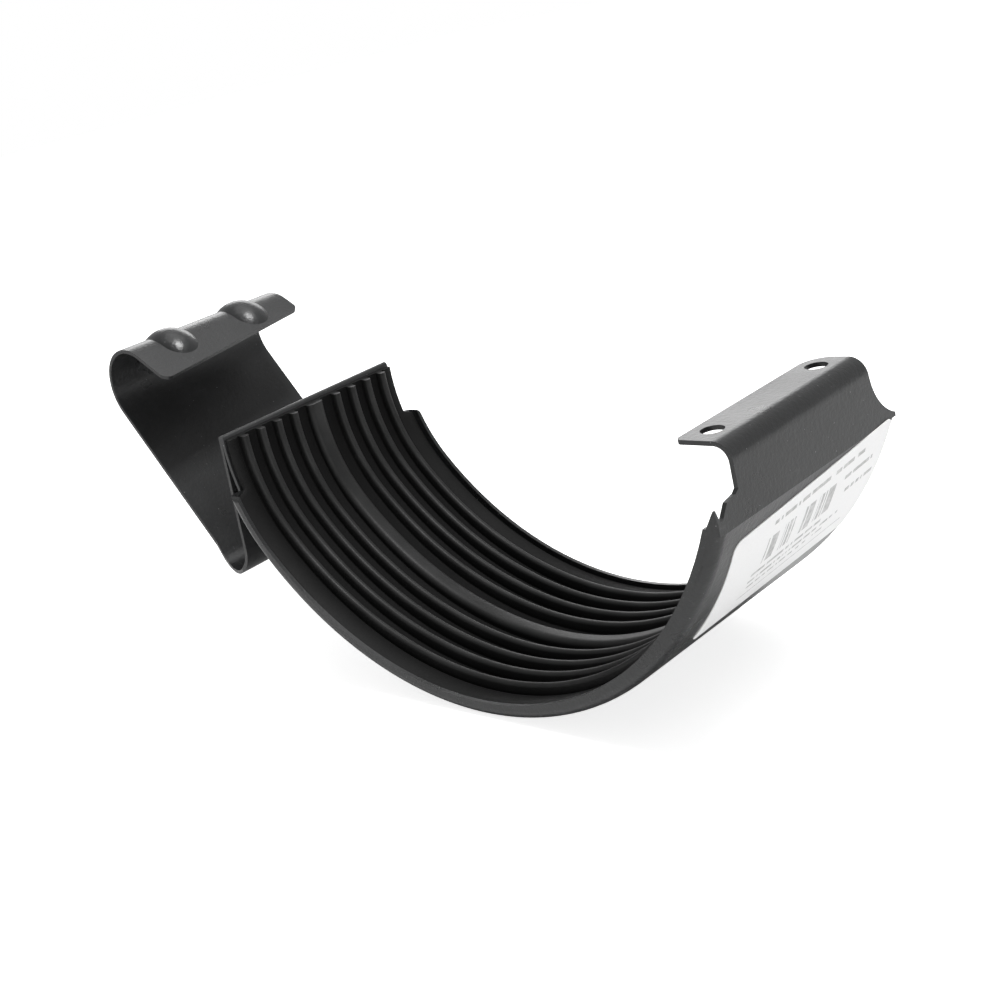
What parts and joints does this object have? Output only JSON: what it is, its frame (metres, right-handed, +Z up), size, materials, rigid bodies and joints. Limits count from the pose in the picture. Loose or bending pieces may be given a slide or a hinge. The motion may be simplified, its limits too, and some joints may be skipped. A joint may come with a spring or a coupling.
{
  "type": "gutter bracket",
  "caption": "Folded steel bracket that joins half-round gutter lengths: a curved seat lined with a ribbed rubber gasket, a hooked front latch and a rear flange.",
  "frame": {"origin": "on the axis of the gutter that the seat holds, at the middle of the seat's width", "axes": "+X across the gutter towards the rear flange, +Y along the gutter, +Z up"},
  "size_m": [0.1639, 0.053, 0.0708],
  "materials": {
    "coated_steel": "satin, fine-textured anthracite coating",
    "rubber": "matt black",
    "paper": "smooth white sticker"
  },
  "bodies": {
    "root": {"band": "coated_steel", "gasket": "rubber", "label": "paper"}
  },
  "joints": []
}
